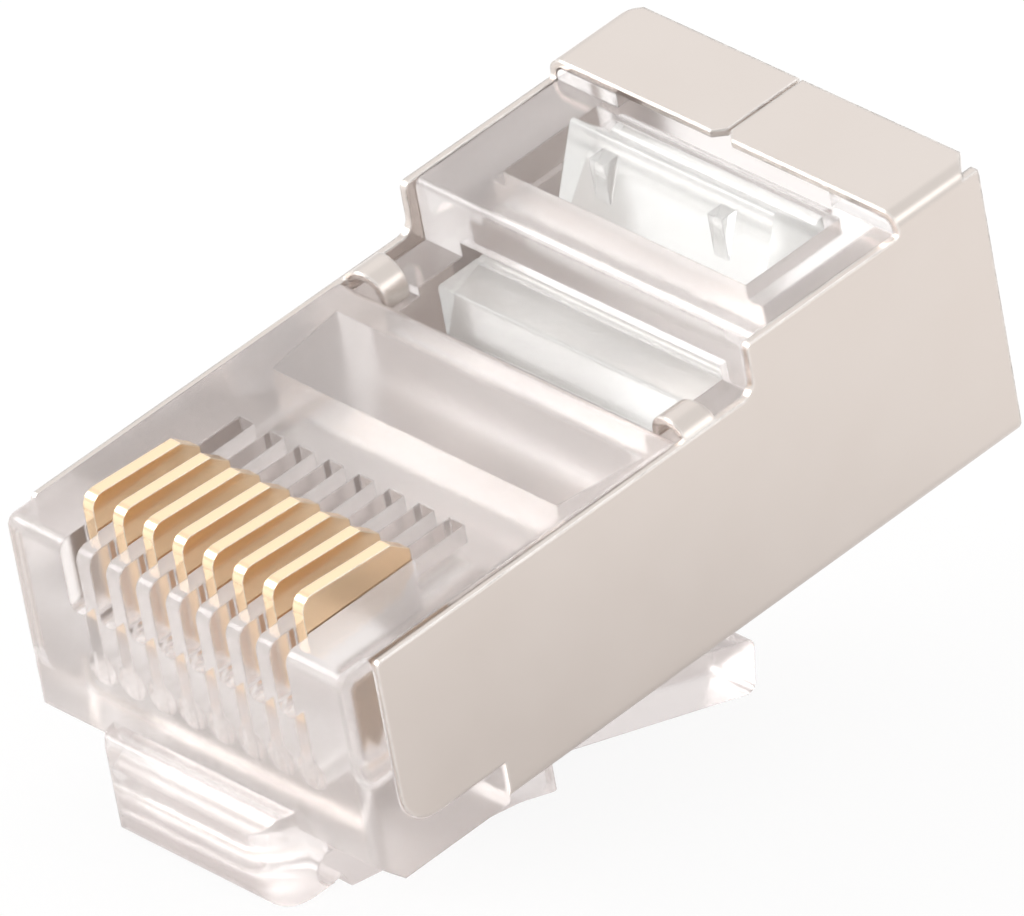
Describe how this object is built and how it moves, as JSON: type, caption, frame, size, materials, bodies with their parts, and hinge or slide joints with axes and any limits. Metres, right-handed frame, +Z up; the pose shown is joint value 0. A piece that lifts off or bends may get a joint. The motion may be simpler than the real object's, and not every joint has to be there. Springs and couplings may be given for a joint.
{
  "type": "rj45 modular plug",
  "caption": "Shielded modular plug, not yet crimped: clear moulded housing, folded metal shield, gold blade contacts, sprung latch lever and hinged cable clamps.",
  "frame": {"origin": "on the plane of the nose's front face, midway across the contacts, level with the underside", "axes": "+X across the contacts, +Y from the nose to the cable end, +Z up to the contact side"},
  "size_m": [0.0118, 0.0223, 0.0138],
  "materials": {
    "clear_plastic": "clear polycarbonate, gloss",
    "nickel_plate": "satin nickel plate on copper alloy sheet",
    "gold_plate": "gold plate on phosphor bronze"
  },
  "bodies": {
    "plug": {"housing": "clear_plastic", "shield": "nickel_plate"},
    "latch": {"latch_lever": "clear_plastic"},
    "conductor_bar": {"conductor_clamp": "clear_plastic"},
    "jacket_wedge": {"jacket_clamp": "clear_plastic"},
    "blade_1": {"contact_1": "gold_plate"},
    "blade_2": {"contact_2": "gold_plate"},
    "blade_3": {"contact_3": "gold_plate"},
    "blade_4": {"contact_4": "gold_plate"},
    "blade_5": {"contact_5": "gold_plate"},
    "blade_6": {"contact_6": "gold_plate"},
    "blade_7": {"contact_7": "gold_plate"},
    "blade_8": {"contact_8": "gold_plate"}
  },
  "joints": [
    {"name": "latch_press", "type": "hinge", "parent": "plug", "child": "latch", "pos_m": [0, 0.00075, -0.00088], "axis": [1, 0, 0], "range_deg": [0, 10], "stiffness_Nm_per_rad": 0.6},
    {"name": "conductor_bar_press", "type": "hinge", "parent": "plug", "child": "conductor_bar", "pos_m": [0, 0.0144, 0.0052], "axis": [1, 0, 0], "range_deg": [0, 22]},
    {"name": "jacket_wedge_press", "type": "hinge", "parent": "plug", "child": "jacket_wedge", "pos_m": [0, 0.01845, 0.0069], "axis": [1, 0, 0], "range_deg": [0, 30]},
    {"name": "blade_1_press", "type": "slide", "parent": "plug", "child": "blade_1", "axis": [0, 0, -1], "range_m": [0, 0.0009]},
    {"name": "blade_2_press", "type": "slide", "parent": "plug", "child": "blade_2", "axis": [0, 0, -1], "range_m": [0, 0.0009]},
    {"name": "blade_3_press", "type": "slide", "parent": "plug", "child": "blade_3", "axis": [0, 0, -1], "range_m": [0, 0.0009]},
    {"name": "blade_4_press", "type": "slide", "parent": "plug", "child": "blade_4", "axis": [0, 0, -1], "range_m": [0, 0.0009]},
    {"name": "blade_5_press", "type": "slide", "parent": "plug", "child": "blade_5", "axis": [0, 0, -1], "range_m": [0, 0.0009]},
    {"name": "blade_6_press", "type": "slide", "parent": "plug", "child": "blade_6", "axis": [0, 0, -1], "range_m": [0, 0.0009]},
    {"name": "blade_7_press", "type": "slide", "parent": "plug", "child": "blade_7", "axis": [0, 0, -1], "range_m": [0, 0.0009]},
    {"name": "blade_8_press", "type": "slide", "parent": "plug", "child": "blade_8", "axis": [0, 0, -1], "range_m": [0, 0.0009]}
  ]
}
